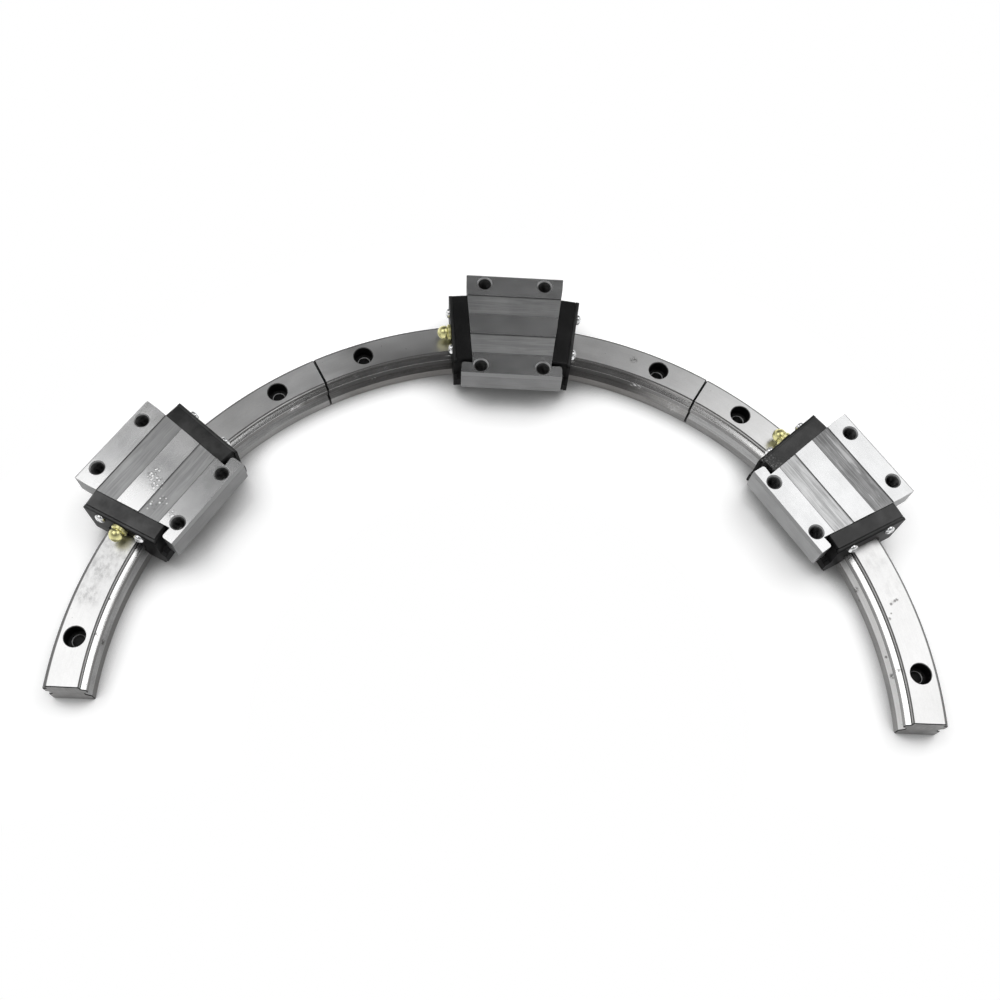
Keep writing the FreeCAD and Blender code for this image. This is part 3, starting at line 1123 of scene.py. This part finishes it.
screw = screw_mesh()
print("screw:", len(screw.data.polygons), "faces")

# %% Twelve screws in zinc


def zinc_finish():
    finish, ink = new_finish("bright_zinc")
    place = millimetres(ink)
    clouds = place.cloud(0.5, detail=4.0)
    scratches = place.cloud(4.0, (1.0, 0.1, 1.0), detail=2.0)
    base = clouds.step(0.35, 0.7).tint(grey(0.74, -0.01), 0.90)
    return wear(finish, base, 0.16 + 0.14 * clouds, scratches, 0.006)


screw.data.materials.append(zinc_finish())
for side in CARRIAGES:
    for end in (-1, 1):
        for aside in (-1, 1):
            number = 1 + (end > 0) * 2 + (aside > 0)
            place = seat(end, aside * SCREW_ASIDE, SCREW_HEIGHT)
            piece = on_carriage(side, "screw_%d" % number, screw.data, place)
bpy.data.objects.remove(screw)
print("screws:", 4 * len(CARRIAGES))

# %% [markdown]
# ## Grease nipples
# A brass nipple sits in the middle of the counter-clockwise end of each carriage: a collar, a fine groove
# and a domed head. On the real part it is turned from bar, so here it is one profile spun about its axis.

# %% Brass nipples
SHANK = 1.9
SHANK_DEPTH = 4.8
COLLAR = 3.1
NIPPLE_GROOVE = 2.2
DOME = 2.7
DOME_HEIGHT = 2.65


def nipple_mesh():
    turns = [radians(a) for a in range(-20, 90, 5)]
    dome = [(DOME * cos(a), DOME_HEIGHT + DOME * sin(a)) for a in turns]
    profile = [(0, -SHANK_DEPTH), (SHANK, -SHANK_DEPTH), (SHANK, 0), (COLLAR - 0.2, 0), (COLLAR, 0.2)]
    profile += [(COLLAR, 1.1), (COLLAR - 0.25, 1.35), (NIPPLE_GROOVE, 1.45), (NIPPLE_GROOVE, 1.65)]
    profile += dome + [(0, DOME_HEIGHT + DOME)]
    piece = turned("nipple", profile, 48)
    shade(piece, 40)
    return piece


def brass_finish():
    finish, ink = new_finish("turned_brass")
    place = millimetres(ink)
    clouds = place.cloud(0.35, detail=4.0)
    rings = place.cloud(1.2, (0.1, 0.1, 6.0), detail=2.0)
    tarnish = (0.6 * clouds + 0.4 * rings).step(0.35, 0.75)
    base = tarnish.tint((0.84, 0.80, 0.41, 1), (0.64, 0.60, 0.27, 1))
    return wear(finish, base, 0.27 + 0.08 * clouds, rings, 0.003)


NIPPLE_HEIGHT = 19.5
nipple = nipple_mesh()
nipple.data.materials.append(brass_finish())
for side in CARRIAGES:
    piece = on_carriage(side, "brass_nipple", nipple.data, seat(-1, 0, NIPPLE_HEIGHT))
    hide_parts(side + "_grease_nipple")
print("nipple:", len(nipple.data.polygons), "faces")
bpy.data.objects.remove(nipple)

# %% [markdown]
# ## Floor
# The object lies on a plain white floor. More lamps could make it white, but would burn out the steel. So a
# matt floor keeps the soft shadows, and for the eye, and for what steel mirrors, it also glows a little.
# Ambient Occlusion finds the floor close under the object and takes the glow away there, so the shadow is
# deep where things touch, and masks set how far it reaches. Far out the floor turns into white backdrop.

# %% White floor
FLOOR_GLOW = 0.27
SHADE_DISTANCE = 0.018
RAIL_END = 0.5 * pi * RAIL_RADIUS


def floor_finish():
    (material, paper), ink = new_finish("white_floor", 0.0, Roughness=1.0, Specular_IOR_Level=0.0)
    tree = material.node_tree
    along, offset, _, _ = arc_frame(ink)
    far = abs(offset).step(34, 62).larger((abs(along) - RAIL_END).step(14, 40))
    names = ("Is Camera Ray", "Is Glossy Ray", "Is Transmission Ray")
    eye_ray, mirror_ray, clear_ray = (ink.node("LightPath", out=name) for name in names)
    seen = eye_ray.larger(mirror_ray.larger(clear_ray))
    open_sky = ink.node("AmbientOcclusion", {"samples": 16}, {"Distance": SHADE_DISTANCE}, out="AO")
    inside = 1 - offset.step(-26, -8)
    left_carriage = along.span((-196, -180), (-124, -112)) * inside
    rail_ends = abs(along).step(186, 194) * inside
    right_carriage = along.span((120, 128), (168, 176)) * inside
    reach = 0.80 + 0.17 * left_carriage + 0.12 * rail_ends - 0.14 * right_carriage
    clear = open_sky.step(0.28, reach).larger(1 - eye_ray)
    shaded = (eye_ray * (1 - clear) * open_sky.step(0.02, 0.2)).tint(0.0, 0.16)
    glow = (clear * seen).tint(shaded, 1.0)
    tree.links.new(clear.tint(0.3, 0.9).socket, paper.inputs["Base Color"])
    tree.links.new(glow.socket, paper.inputs["Emission Color"])
    paper.inputs["Emission Strength"].default_value = FLOOR_GLOW
    white = ink.node("Emission", None, {"Color": grey(1.0), "Strength": 1.0})
    near = Ink(tree, paper.outputs["BSDF"])
    mixed = ink.node("MixShader", None, {0: far * seen, 1: near, 2: white})
    tree.links.new(mixed.socket, tree.nodes["Material Output"].inputs["Surface"])
    return material


bm = bmesh.new()
bmesh.ops.create_circle(bm, cap_ends=True, segments=96, radius=4.0)
floor = new_piece("floor", bm)
floor.data.materials.append(floor_finish())
print("floor laid, glow", FLOOR_GLOW)

# %% [markdown]
# ## Light
# Two soft boxes hang over the ends of the arc. Ground steel is a blurred mirror: the side carriages and the
# rail ends mirror the boxes and turn nearly white, while the middle carriage mirrors the dim ceiling between
# them and stays grey. A third lamp fills the floor with soft light and is left out of what the steel mirrors,
# and a small one overhead gives the screws and the brass their glints.

# %% Soft boxes


def soft_box(name, place, turn, size, glow, mirrored_too=True):
    """A rectangular lamp that looks down; turn in degrees, size in metres, glow as its brightness."""
    lamp = bpy.data.lights.new(name, "AREA")
    lamp.shape = "RECTANGLE"
    lamp.size, lamp.size_y = size
    lamp.energy = glow * pi * size[0] * size[1]
    holder = add_object(name, lamp)
    holder.location = place
    holder.rotation_euler = (0, 0, radians(turn))
    holder.visible_glossy = mirrored_too
    print(name, "power", round(lamp.energy, 2), "W")


soft_box("left_box", (-0.536, 0.028, 0.8), -32, (0.8, 0.6), 1.68)
soft_box("right_box", (0.53, 0.22, 0.8), 32, (0.8, 0.64), 1.65)
soft_box("top_fill", (0, 0.25, 1.0), 0, (1.4, 1.0), 1.25, False)
soft_box("overhead", (0, 0.04, 1.0), 0, (0.45, 0.2), 4.0)

# %% [markdown]
# ## Room
# Steel shows what stands round it, so the world is a plain room: a white horizon and side walls, a dim
# ceiling and a grey wall in front. A picture of a studio could do this, but three slopes over the view
# direction are enough. Only mirrored rays see the front wall, so it adds no light, and the eye sees white.

# %% Walls and ceiling
CEILING = 0.10
SIDE_WALL = 0.75
FRONT_WALL = 0.55

world = bpy.data.worlds.new("studio")
bpy.context.scene.world = world
world.use_nodes = True
air = Ink(world.node_tree)
aside, back, up = air.node("TexCoord", out="Generated").parts()
eye_ray = air.node("LightPath", out="Is Camera Ray")
mirror_ray = air.node("LightPath", out="Is Glossy Ray")
horizon = 1 - up.step(0.06, 0.2)
side_walls = abs(aside).step(0.5, 0.9) * (1 - up.step(0.3, 0.6))
front_wall = (1 - back.step(-0.6, -0.1)) * (1 - up.step(0.45, 0.8))
walls = horizon.larger(SIDE_WALL * side_walls).larger(FRONT_WALL * front_wall * mirror_ray)
room = walls.larger(eye_ray).tint(CEILING, 1.0)
background = world.node_tree.nodes["Background"]
world.node_tree.links.new(room.socket, background.inputs["Color"])
print("room has", len(world.node_tree.nodes), "nodes")

# %% [markdown]
# ## Camera
# The camera stands in front of the arc's open side and looks steeply down, a little turned and tilted, as
# the photograph was taken. Its three axes are worked out from yaw, pitch and roll.

# %% Camera at the photograph's angle
CAMERA_PLACE = Vector((-0.0127, -0.2462, 0.3936))
YAW, PITCH_DOWN, ROLL = (radians(a) for a in (3.33, 65.23, -5.73))
LENS = 40.17

flat = cos(PITCH_DOWN)
forward = Vector((sin(YAW) * flat, cos(YAW) * flat, -sin(PITCH_DOWN)))
level = Vector((cos(YAW), -sin(YAW), 0))
below = forward.cross(level)
right = level * cos(ROLL) + below * sin(ROLL)
down = below * cos(ROLL) - level * sin(ROLL)
eye = bpy.data.cameras.new("camera")
eye.lens = LENS
eye.sensor_width = 36.0
eye.clip_start = 0.01
camera = add_object("camera", eye)
axes = Matrix((right, -down, -forward)).transposed().to_4x4()
camera.matrix_world = Matrix.Translation(CAMERA_PLACE) @ axes
bpy.context.scene.camera = camera
bpy.context.scene.view_settings.view_transform = "Standard"
print("camera looks along", [round(c, 3) for c in forward])
